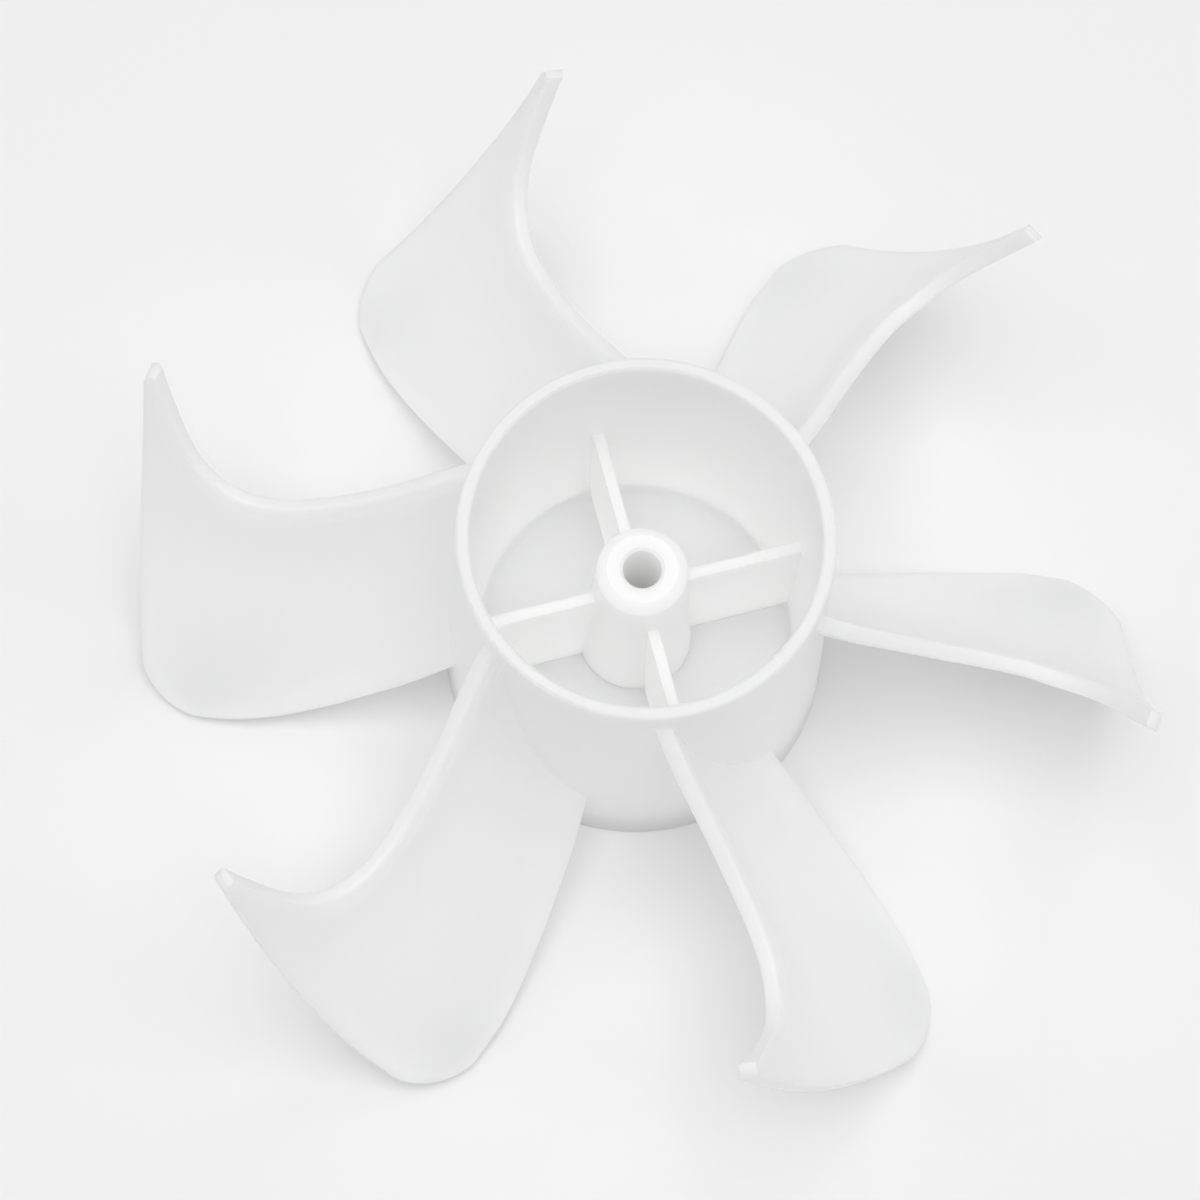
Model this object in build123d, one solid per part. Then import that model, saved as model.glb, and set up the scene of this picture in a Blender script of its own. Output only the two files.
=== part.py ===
from build123d import *
import os
from math import cos, radians, sin, tan

# Axial fan impeller moulded in one piece from translucent plastic.
# Frame: Z is the axis of rotation, Z = 0 is the closed base of the hub, and the tip of the first
# blade lies at angle 0, on +X. Lengths are millimetres and angles are degrees.

# Driving dimensions of the hub cup
fan_diameter = 110.0
hub_rim_diameter = 38.8
hub_base_diameter = 42.2
hub_height = 40.7
rim_wall = 1.4
rim_edge_radius = 0.35
cavity_draft = 0.8
floor_height = 5.9
floor_thickness = 2.0
floor_fillet = 0.8
skirt_wall = 1.8
base_edge_radius = 0.5

# Driving dimensions of the boss that is pressed on the motor shaft
bore_diameter = 4.1
bore_lead_in = 0.35
boss_height = 29.6
boss_top_diameter = 9.7
boss_chamfer = 1.1
boss_draft = 3.4

# Driving dimensions of the ribs between boss and cup
rib_count = 4
rib_thickness = 1.2
rib_height = 23.8
rib_angle = 34.0

# Driving dimensions of the blades
blade_count = 6
rim_edge_thickness = 1.75
base_edge_thickness = 1.15
blade_edge_radius = 0.4
tip_height = 37.2
tip_radius = 1.1
corner_radius = 8.5
corner_overlap = 0.1
root_camber = 0.087
tip_camber = 0.12
camber_shift = 0.285

# Stations along a blade, evenly spaced from the hub wall to just past the outer cylinder. Each row has
# the angle and height of the thick edge beside the rim, then the angle and height of the thin edge
# beside the base. The thick edge dips at mid span and sweeps up into a hooked tip.
span_overshoot = 0.04
blade_stations = [
    (-6.7, 38.3, 33.6, 11.8),
    (-2.6, 34.9, 33.6, 9.6),
    (1.0, 31.6, 33.5, 7.7),
    (3.5, 28.9, 32.9, 6.0),
    (5.2, 26.7, 32.5, 4.5),
    (6.3, 25.1, 31.9, 3.1),
    (6.7, 24.2, 31.3, 2.0),
    (6.1, 24.5, 30.5, 1.4),
    (4.4, 27.8, 29.2, 0.9),
    (0.7, 35.6, 28.0, 0.7),
    (-3.7, 46.5, 27.4, 0.9),
]
chord_shares = (0.04, 0.12, 0.3, 0.53, 0.77, 1.0)
edge_turns = (0, 30, 60, 90)
chord_step = 0.01
skin_rows = 20

# Derived dimensions
fan_radius = fan_diameter / 2
rim_radius = hub_rim_diameter / 2
base_radius = hub_base_diameter / 2
bore_radius = bore_diameter / 2
cavity_rim_radius = rim_radius - rim_wall
cavity_floor_radius = cavity_rim_radius - (hub_height - floor_height) * tan(radians(cavity_draft))
boss_radius = boss_top_diameter / 2
boss_foot_radius = boss_radius + (boss_height - floor_height) * tan(radians(boss_draft))
skirt_height = floor_height - floor_thickness
blade_root_radius = cavity_rim_radius + rim_wall / 2
blade_span = fan_radius - blade_root_radius
station_gap = (1 + span_overshoot) / (len(blade_stations) - 1)


def turned(points):
    """A solid of revolution from a closed outline of (radius, height) points."""
    outline = Polyline(*[(radius, 0, height) for radius, height in points], close=True)
    return revolve(make_face(outline), Axis.Z)


def hub_body():
    """The outer body of the hub, a plain cone frustum that widens towards its closed base."""
    return turned([(0, 0), (base_radius, 0), (rim_radius, hub_height), (0, hub_height)])


def hub_cavity():
    """The hollow of the cup above its floor, with draft and a small fillet round the floor."""
    cavity = turned([
        (0, floor_height),
        (cavity_floor_radius, floor_height),
        (cavity_rim_radius, hub_height),
        (0, hub_height),
    ])
    return fillet(cavity.edges().sort_by(Axis.Z)[0], floor_fillet)


def base_recess():
    """The shallow recess under the floor, which leaves a skirt of even wall round the base."""
    slope = (base_radius - rim_radius) / hub_height
    return turned([
        (0, 0),
        (base_radius - skirt_wall, 0),
        (base_radius - skirt_wall - slope * skirt_height, skirt_height),
        (0, skirt_height),
    ])


def hub_cup():
    """The cup wall with its floor and skirt, rounded at the base edge and round the rim."""
    body = hub_body()
    body = fillet(body.edges().sort_by(Axis.Z)[0], base_edge_radius)
    cup = body - hub_cavity() - base_recess()
    return fillet(cup.edges().filter_by(GeomType.CIRCLE).group_by(Axis.Z)[-1], rim_edge_radius)


def boss():
    """The tapered boss with a chamfered top, from inside the floor upwards."""
    return turned([
        (0, floor_height - floor_thickness / 2),
        (boss_foot_radius, floor_height - floor_thickness / 2),
        (boss_foot_radius, floor_height),
        (boss_radius, boss_height - boss_chamfer),
        (boss_radius - boss_chamfer, boss_height),
        (0, boss_height),
    ])


def shaft_bore():
    """The plain round bore through boss and floor, with a small lead-in at the top."""
    return turned([
        (0, 0),
        (bore_radius, 0),
        (bore_radius, boss_height - bore_lead_in),
        (bore_radius + bore_lead_in, boss_height),
        (0, boss_height),
    ])


def ribs():
    """Upright ribs that tie the boss to the cup wall."""
    length = cavity_rim_radius + rim_wall / 2
    depth = rib_height - floor_height + floor_thickness / 2
    rib = Pos(length / 2, 0, rib_height - depth / 2) * Box(length, rib_thickness, depth)
    return [Rot(0, 0, rib_angle + k * 360 / rib_count) * rib for k in range(rib_count)]


def station_at(share):
    """Edge angles and heights at any share of the span, smooth through the rows of the table."""
    last = len(blade_stations) - 1
    place = share / station_gap
    low = min(max(int(place), 0), last - 1)
    part = place - low
    values = []
    for column in zip(*blade_stations):
        start = column[low]
        end = column[low + 1]
        before = column[low - 1] if low > 0 else 2 * start - end
        after = column[low + 2] if low + 1 < last else 2 * end - start
        slope = (end - before) / 2
        bend = before - 2.5 * start + 2 * end - 0.5 * after
        twist = 1.5 * (start - end) + 0.5 * (after - before)
        values.append(start + part * (slope + part * (bend + part * twist)))
    return values


def camber_point(share, along):
    """A point of the camber surface. The share along the chord runs from thick to thin edge."""
    rim_angle, rim_height, base_angle, base_height = station_at(share)
    radius = blade_root_radius + share * blade_span
    camber = root_camber + share * (tip_camber - root_camber)
    start = Vector(radians(rim_angle) * radius, rim_height)
    end = Vector(radians(base_angle) * radius, base_height)
    chord = end - start
    hollow = Vector(chord.Y, -chord.X)
    middle = (start + end) * 0.5 + chord * camber_shift + hollow * (2 * camber)
    flat = start * (1 - along) ** 2 + middle * (2 * along * (1 - along)) + end * along**2
    angle = flat.X / radius
    return Vector(radius * cos(angle), radius * sin(angle), flat.Y)


def camber_axes(share, along):
    """Chord direction and hollow-side normal of the camber surface."""
    spanwise = camber_point(share + station_gap, along) - camber_point(share - station_gap, along)
    chordwise = camber_point(share, along + chord_step) - camber_point(share, along - chord_step)
    return chordwise.normalized(), spanwise.cross(chordwise).normalized()


def skin_row(share, side):
    """Points of one skin across a blade, from inside the rounded thick edge to the thin edge."""
    chordwise, normal = camber_axes(share, 0)
    inset = rim_edge_thickness / 2 - blade_edge_radius
    points = []
    for turn in edge_turns:
        inwards = blade_edge_radius * (1 - cos(radians(turn)))
        outwards = inset + blade_edge_radius * sin(radians(turn))
        points.append(camber_point(share, 0) + chordwise * inwards + normal * (side * outwards))
    for along in chord_shares:
        thickness = rim_edge_thickness + along * (base_edge_thickness - rim_edge_thickness)
        normal = camber_axes(share, along)[1]
        points.append(camber_point(share, along) + normal * (side * thickness / 2))
    return points


def blade_skin(side):
    """One skin of a blade: side is 1 on the hollow side and -1 on the back."""
    end = 1 + span_overshoot
    grid = [skin_row(end * row / skin_rows, side) for row in range(skin_rows + 1)]
    return Face.make_surface_from_array_of_points(grid, tol=0.01, min_deg=3, max_deg=5)


def nearest_edge(edge, face):
    """The border edge of a face whose middle lies nearest the middle of the given edge."""
    return min(face.edges(), key=lambda other: (other @ 0.5 - edge @ 0.5).length)


def blade_blank():
    """A blade before its outline is trimmed: two skins closed by ruled edge faces."""
    upper = blade_skin(1)
    lower = blade_skin(-1)
    borders = upper.edges()
    partners = [nearest_edge(edge, lower) for edge in borders]
    sides = [Face.make_surface_from_curves(*pair) for pair in zip(borders, partners)]
    return Solid(Shell([upper, lower] + sides))


def blade_envelope():
    """The space round the axis that a blade may fill: floor level, outer cylinder and round tip.

    The seam of its faces lies opposite the first blade.
    """
    top = hub_height + fan_radius
    inner_tip = fan_radius - 2 * tip_radius
    with BuildSketch(Plane.XZ) as outline:
        with BuildLine():
            outer = Line((fan_radius, 0), (fan_radius, tip_height))
            tip = TangentArc(outer @ 1, (inner_tip, tip_height), tangent=(0, 1))
            Polyline(tip @ 1, (inner_tip, top), (0, top), (0, 0), outer @ 0)
        make_face()
    return Rot(0, 0, 180) * revolve(outline.sketch, Axis.Z)


def corner_waste():
    """What the large round between outer edge and thin edge takes off, square to the skins.

    The round touches both edges, moved out by the overlap so that it crosses them cleanly.
    """
    corner = camber_point(1, 1)
    tip_chord = (camber_point(1, 0) - corner).length
    outer_edge = (camber_point(1, 1 - corner_radius / tip_chord) - corner).normalized()
    thin_edge = (camber_point(1 - corner_radius / blade_span, 1) - corner).normalized()
    half = radians(outer_edge.get_angle(thin_edge)) / 2
    inwards = (outer_edge + thin_edge).normalized()
    centre = corner + inwards * (corner_radius / sin(half) - corner_overlap)
    plane = Plane(origin=centre, x_dir=-inwards, z_dir=outer_edge.cross(thin_edge))
    far = 2 * corner_radius
    wedge = Polyline((0, 0), (far, far / tan(half)), (far, -far / tan(half)), close=True)
    return extrude(plane * (make_face(wedge) - Circle(corner_radius)), corner_radius, both=True)


def blades():
    """All blades, equal copies of one trimmed blade round the axis."""
    blade = (blade_blank() & blade_envelope()) - corner_waste()
    return [Rot(0, 0, k * 360 / blade_count) * blade for k in range(blade_count)]


def impeller():
    """The whole moulding: hub cup, boss, ribs and blades in one solid."""
    inside = hub_body() & (Part() + ribs())
    return hub_cup() + blades() + inside + boss() - shaft_bore()


if __name__ == "__main__":
    os.makedirs("parts", exist_ok=True)
    part = impeller()
    export_step(part, "parts/impeller.step")
    print(part.is_valid, round(part.volume, 1), part.bounding_box())
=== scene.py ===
"""Looks of a moulded axial fan impeller: translucent plastic on a pale table under soft light."""

import logging
import math
from dataclasses import dataclass, field
from enum import Enum
from typing import Any

import bpy
from mathutils import Matrix, Vector

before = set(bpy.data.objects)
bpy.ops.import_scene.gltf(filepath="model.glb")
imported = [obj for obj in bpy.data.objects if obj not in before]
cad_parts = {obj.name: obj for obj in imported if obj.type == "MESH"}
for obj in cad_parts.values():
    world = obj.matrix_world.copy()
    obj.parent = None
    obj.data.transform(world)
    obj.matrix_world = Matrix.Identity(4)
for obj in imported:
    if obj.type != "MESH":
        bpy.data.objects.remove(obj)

log = logging.getLogger("impeller")

MM = 0.001
Colour = tuple[float, float, float, float]
WHITE: Colour = (1.0, 1.0, 1.0, 1.0)
LIGHT_BOUNCES = 16


class Node(Enum):
    """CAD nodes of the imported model."""

    IMPELLER = "impeller"


class Slot(Enum):
    """Material slots of the record."""

    PLASTIC = "plastic"


class Bump(Enum):
    """Surface textures of the mould: feature size and depth in metres."""

    POLISH = (0.9 * MM, 0.004 * MM)
    FLOW = (14.0 * MM, 0.05 * MM)

    @property
    def size(self) -> float:
        """Typical width of one feature in metres."""
        return self.value[0]

    @property
    def depth(self) -> float:
        """Height of one feature in metres."""
        return self.value[1]


@dataclass(frozen=True)
class PlasticFinish:
    """Natural polypropylene: milky, softly translucent and satin.

    Args:
        milk: Colour where the wall is dense.
        haze: Colour where the melt flowed thin and lets more light through.
        roughness: Lowest and highest roughness of the moulded skin.
        index: Index of refraction.
        gloss: Strength of the reflection of the skin, where 0.5 is that of bare plastic.
        scatter: Distance that light travels inside the wall, per channel, in metres.
    """

    milk: Colour = (0.996, 0.996, 0.995, 1.0)
    haze: Colour = (0.990, 0.990, 0.989, 1.0)
    roughness: tuple[float, float] = (0.34, 0.46)
    index: float = 1.49
    gloss: float = 0.35
    scatter: tuple[float, float, float] = (4.20 * MM, 4.16 * MM, 4.10 * MM)


@dataclass(frozen=True)
class FloorFinish:
    """Matt white board that keeps the shadow.

    Args:
        colour: Albedo of the board.
        roughness: Roughness of its surface.
        gloss: Strength of its reflection.
    """

    colour: Colour = (0.90, 0.90, 0.90, 1.0)
    roughness: float = 0.9
    gloss: float = 0.1


@dataclass(frozen=True)
class SoftBox:
    """One rectangular studio light, placed by the directions of the picture.

    Args:
        name: Object name.
        right: Metres to the right in the picture.
        back: Metres away from the viewer along the table.
        height: Metres above the table.
        size: Edge of the square light in metres.
        power: Watts.
        colour: Light colour.
    """

    name: str
    right: float
    back: float
    height: float
    size: float
    power: float
    colour: tuple[float, float, float] = (1.0, 1.0, 1.0)


class NodeTree:
    """Short way to add and join nodes of one tree."""

    def __init__(self, tree: bpy.types.NodeTree) -> None:
        """Wraps a tree.

        Args:
            tree: A shader node tree.
        """
        self.tree = tree

    def add(self, kind: str, place: tuple[int, int], **inputs: Any) -> bpy.types.Node:
        """Adds a node and sets its constants.

        Args:
            kind: Node type name.
            place: Column and row in the layout.
            **inputs: Socket names, with _ for a space, and their constant values.

        Returns:
            The new node.
        """
        node = self.tree.nodes.new(kind)
        node.location = (place[0] * 220, -place[1] * 220)
        for name, value in inputs.items():
            node.inputs[name.replace("_", " ")].default_value = value
        return node

    def join(self, source: bpy.types.NodeSocket, target: bpy.types.NodeSocket) -> None:
        """Links an output to an input.

        Args:
            source: Output socket.
            target: Input socket.
        """
        self.tree.links.new(source, target)


class FlowGroup:
    """Node group for the faint cloudiness that the melt leaves in a moulded wall."""

    NAME = "flow_clouds"

    def build(self) -> bpy.types.NodeTree:
        """Makes the group.

        Returns:
            A group with the inputs Vector and Size and the output Mask.
        """
        group = bpy.data.node_groups.new(self.NAME, "ShaderNodeTree")
        sockets = group.interface
        sockets.new_socket("Vector", in_out="INPUT", socket_type="NodeSocketVector")
        size = sockets.new_socket("Size", in_out="INPUT", socket_type="NodeSocketFloat")
        size.default_value = Bump.FLOW.size
        sockets.new_socket("Mask", in_out="OUTPUT", socket_type="NodeSocketFloat")
        tree = NodeTree(group)
        start = tree.add("NodeGroupInput", (0, 0))
        end = tree.add("NodeGroupOutput", (4, 0))
        scale = tree.add("ShaderNodeMath", (1, 1))
        scale.operation = "DIVIDE"
        scale.inputs[0].default_value = 1.0
        noise = tree.add("ShaderNodeTexNoise", (2, 0), Detail=2.0, Roughness=0.5)
        ramp = tree.add("ShaderNodeMapRange", (3, 0), From_Min=0.35, From_Max=0.65)
        tree.join(start.outputs["Size"], scale.inputs[1])
        tree.join(start.outputs["Vector"], noise.inputs["Vector"])
        tree.join(scale.outputs[0], noise.inputs["Scale"])
        tree.join(noise.outputs["Fac"], ramp.inputs["Value"])
        tree.join(ramp.outputs["Result"], end.inputs["Mask"])
        return group


class SkinGroup:
    """Node group for the normal of a moulded skin: a very fine texture on faint, broad swells."""

    NAME = "moulded_skin"

    def build(self) -> bpy.types.NodeTree:
        """Makes the group.

        Returns:
            A group with the inputs Vector, Grain and Swell and the output Normal.
        """
        group = bpy.data.node_groups.new(self.NAME, "ShaderNodeTree")
        sockets = group.interface
        sockets.new_socket("Vector", in_out="INPUT", socket_type="NodeSocketVector")
        for name, bump in (("Grain", Bump.POLISH), ("Swell", Bump.FLOW)):
            depth = sockets.new_socket(name, in_out="INPUT", socket_type="NodeSocketFloat")
            depth.default_value = bump.depth
        sockets.new_socket("Normal", in_out="OUTPUT", socket_type="NodeSocketVector")
        tree = NodeTree(group)
        start = tree.add("NodeGroupInput", (0, 0))
        end = tree.add("NodeGroupOutput", (4, 0))
        grain = tree.add("ShaderNodeTexNoise", (1, 0), Scale=1.0 / Bump.POLISH.size, Detail=1.0)
        fine = tree.add("ShaderNodeBump", (2, 0), Strength=1.0)
        swell = tree.add("ShaderNodeTexNoise", (1, 1), Scale=1.0 / Bump.FLOW.size, Detail=1.0)
        broad = tree.add("ShaderNodeBump", (3, 0), Strength=1.0)
        tree.join(start.outputs["Vector"], grain.inputs["Vector"])
        tree.join(start.outputs["Vector"], swell.inputs["Vector"])
        tree.join(start.outputs["Grain"], fine.inputs["Distance"])
        tree.join(start.outputs["Swell"], broad.inputs["Distance"])
        tree.join(grain.outputs["Fac"], fine.inputs["Height"])
        tree.join(swell.outputs["Fac"], broad.inputs["Height"])
        tree.join(fine.outputs["Normal"], broad.inputs["Normal"])
        tree.join(broad.outputs["Normal"], end.inputs["Normal"])
        return group


@dataclass
class Materials:
    """The finished materials of the scene.

    Args:
        plastic: Finish of the moulding.
        floor: Finish of the board under it.
    """

    plastic: PlasticFinish = field(default_factory=PlasticFinish)
    floor: FloorFinish = field(default_factory=FloorFinish)

    def moulding(self) -> bpy.types.Material:
        """Milky translucent plastic.

        Returns:
            The material.
        """
        material = bpy.data.materials.new("natural_plastic")
        material.use_nodes = True
        tree = NodeTree(material.node_tree)
        shader = material.node_tree.nodes["Principled BSDF"]
        finish = self.plastic
        place = tree.add("ShaderNodeTexCoord", (-5, 0))
        flow = tree.add("ShaderNodeGroup", (-4, 0))
        flow.node_tree = FlowGroup().build()
        skin = tree.add("ShaderNodeGroup", (-4, 2))
        skin.node_tree = SkinGroup().build()
        skin.inputs["Grain"].default_value = Bump.POLISH.depth
        skin.inputs["Swell"].default_value = Bump.FLOW.depth
        tint = tree.add("ShaderNodeMix", (-2, 0))
        tint.data_type = "RGBA"
        tint.inputs["A"].default_value = finish.milk
        tint.inputs["B"].default_value = finish.haze
        rough = tree.add("ShaderNodeMapRange", (-2, 1))
        rough.inputs["To Min"].default_value = finish.roughness[0]
        rough.inputs["To Max"].default_value = finish.roughness[1]
        tree.join(place.outputs["Object"], flow.inputs["Vector"])
        tree.join(place.outputs["Object"], skin.inputs["Vector"])
        tree.join(flow.outputs["Mask"], tint.inputs["Factor"])
        tree.join(flow.outputs["Mask"], rough.inputs["Value"])
        tree.join(tint.outputs["Result"], shader.inputs["Base Color"])
        tree.join(rough.outputs["Result"], shader.inputs["Roughness"])
        tree.join(skin.outputs["Normal"], shader.inputs["Normal"])
        shader.inputs["IOR"].default_value = finish.index
        shader.inputs["Specular IOR Level"].default_value = finish.gloss
        shader.inputs["Subsurface Weight"].default_value = 1.0
        shader.inputs["Subsurface Radius"].default_value = finish.scatter
        shader.inputs["Subsurface Scale"].default_value = 1.0
        return material

    def board(self) -> bpy.types.Material:
        """Matt white board.

        Returns:
            The material.
        """
        material = bpy.data.materials.new("white_board")
        material.use_nodes = True
        shader = material.node_tree.nodes["Principled BSDF"]
        shader.inputs["Base Color"].default_value = self.floor.colour
        shader.inputs["Roughness"].default_value = self.floor.roughness
        shader.inputs["Specular IOR Level"].default_value = self.floor.gloss
        return material


@dataclass
class Impeller:
    """The moulded impeller, one CAD node.

    Args:
        material: Finish of the whole moulding.
    """

    material: bpy.types.Material

    def dress(self) -> bpy.types.Object:
        """Gives the CAD node its material.

        Returns:
            The node's object.
        """
        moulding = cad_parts[Node.IMPELLER.value]
        moulding.data.materials.clear()
        moulding.data.materials.append(self.material)
        return moulding


@dataclass(frozen=True)
class Viewpoint:
    """Where the picture is taken from.

    Args:
        azimuth: Direction of the camera from the object, in degrees from +X.
        elevation: Height of the camera above the table, in degrees.
        distance: Distance to the target in metres.
        target: Point that the lens axis goes through.
        roll: Turn about the lens axis in degrees.
        focal: Focal length in sensor widths.
        shift: Shift of the lens in picture widths, to the right and up.
        sensor: Width of the sensor in millimetres.
        clip: Nearest and farthest distance that the camera shows, in metres.
    """

    azimuth: float = 105.92
    elevation: float = 68.77
    distance: float = 0.3578
    target: tuple[float, float, float] = (0.0118, -0.0211, 0.0169)
    roll: float = 3.65
    focal: float = 2.686
    shift: tuple[float, float] = (0.0, -0.1667)
    sensor: float = 36.0
    clip: tuple[float, float] = (0.01, 10.0)

    def backward(self) -> Vector:
        """Unit vector from the target to the camera."""
        turn = math.radians(self.azimuth)
        rise = math.radians(self.elevation)
        flat = Vector((math.cos(turn), math.sin(turn), 0.0)) * math.cos(rise)
        return flat + Vector((0.0, 0.0, math.sin(rise)))

    def level_right(self) -> Vector:
        """Unit vector along the table to the right of the picture."""
        return Vector((0.0, 0.0, 1.0)).cross(self.backward()).normalized()

    def place(self) -> bpy.types.Object:
        """Makes the camera and selects it.

        Returns:
            The camera object.
        """
        back = self.backward()
        level = self.level_right()
        rise = back.cross(level)
        turn = math.radians(self.roll)
        right = level * math.cos(turn) + rise * math.sin(turn)
        up = rise * math.cos(turn) - level * math.sin(turn)
        basis = Matrix((right, up, back)).transposed().to_4x4()
        camera = bpy.data.objects.new("camera", bpy.data.cameras.new("camera"))
        bpy.context.scene.collection.objects.link(camera)
        camera.matrix_world = Matrix.Translation(Vector(self.target) + back * self.distance) @ basis
        camera.data.sensor_width = self.sensor
        camera.data.lens = self.sensor * self.focal
        camera.data.shift_x, camera.data.shift_y = self.shift
        camera.data.clip_start, camera.data.clip_end = self.clip
        bpy.context.scene.camera = camera
        return camera


@dataclass
class Studio:
    """Board, lights and surroundings.

    Args:
        viewpoint: Gives the directions of the picture, which the lights follow.
        board: Material of the board.
        lights: The soft boxes.
        sky: Strength of the even light from all sides.
        half: Half the edge of the board in metres.
    """

    viewpoint: Viewpoint
    board: bpy.types.Material
    lights: tuple[SoftBox, ...] = (
        SoftBox("key_light", 0.0, -0.06, 1.00, 0.80, 4.90),
        SoftBox("right_light", 0.80, 0.0, 0.75, 0.50, 0.75),
        SoftBox("left_light", -0.80, 0.0, 0.75, 0.50, 0.75),
        SoftBox("back_light", 0.20, 0.62, 0.90, 0.22, 0.45),
    )
    sky: float = 0.45
    half: float = 3.0

    def lay_board(self) -> None:
        """Lays the board that the impeller stands on."""
        half = self.half
        mesh = bpy.data.meshes.new("board")
        corners = [(-half, -half, 0), (half, -half, 0), (half, half, 0), (-half, half, 0)]
        mesh.from_pydata(corners, [], [(0, 1, 2, 3)])
        mesh.materials.append(self.board)
        board = bpy.data.objects.new("board", mesh)
        bpy.context.scene.collection.objects.link(board)

    def hang_lights(self) -> None:
        """Hangs each soft box and points it at the middle of the object."""
        right = self.viewpoint.level_right()
        back = Vector((0.0, 0.0, 1.0)).cross(right)
        for box in self.lights:
            data = bpy.data.lights.new(box.name, "AREA")
            data.size = box.size
            data.energy = box.power
            data.color = box.colour
            light = bpy.data.objects.new(box.name, data)
            spot = right * box.right + back * box.back + Vector((0.0, 0.0, box.height))
            light.location = spot
            light.rotation_euler = spot.to_track_quat("Z", "Y").to_euler()
            bpy.context.scene.collection.objects.link(light)

    def fill_sky(self) -> None:
        """Sets the even light from all sides."""
        world = bpy.data.worlds.new("studio")
        world.use_nodes = True
        glow = world.node_tree.nodes["Background"]
        glow.inputs["Color"].default_value = WHITE
        glow.inputs["Strength"].default_value = self.sky
        bpy.context.scene.world = world

    def build(self) -> None:
        """Builds the whole studio."""
        self.lay_board()
        self.hang_lights()
        self.fill_sky()


def main() -> None:
    """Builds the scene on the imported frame."""
    logging.basicConfig(level=logging.INFO)
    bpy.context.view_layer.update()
    materials = Materials()
    Impeller(materials.moulding()).dress()
    viewpoint = Viewpoint()
    viewpoint.place()
    Studio(viewpoint, materials.board()).build()
    bpy.context.scene.view_settings.view_transform = "Standard"
    bpy.context.scene.cycles.diffuse_bounces = LIGHT_BOUNCES
    bpy.context.scene.cycles.max_bounces = LIGHT_BOUNCES


if __name__ == "__main__":
    main()
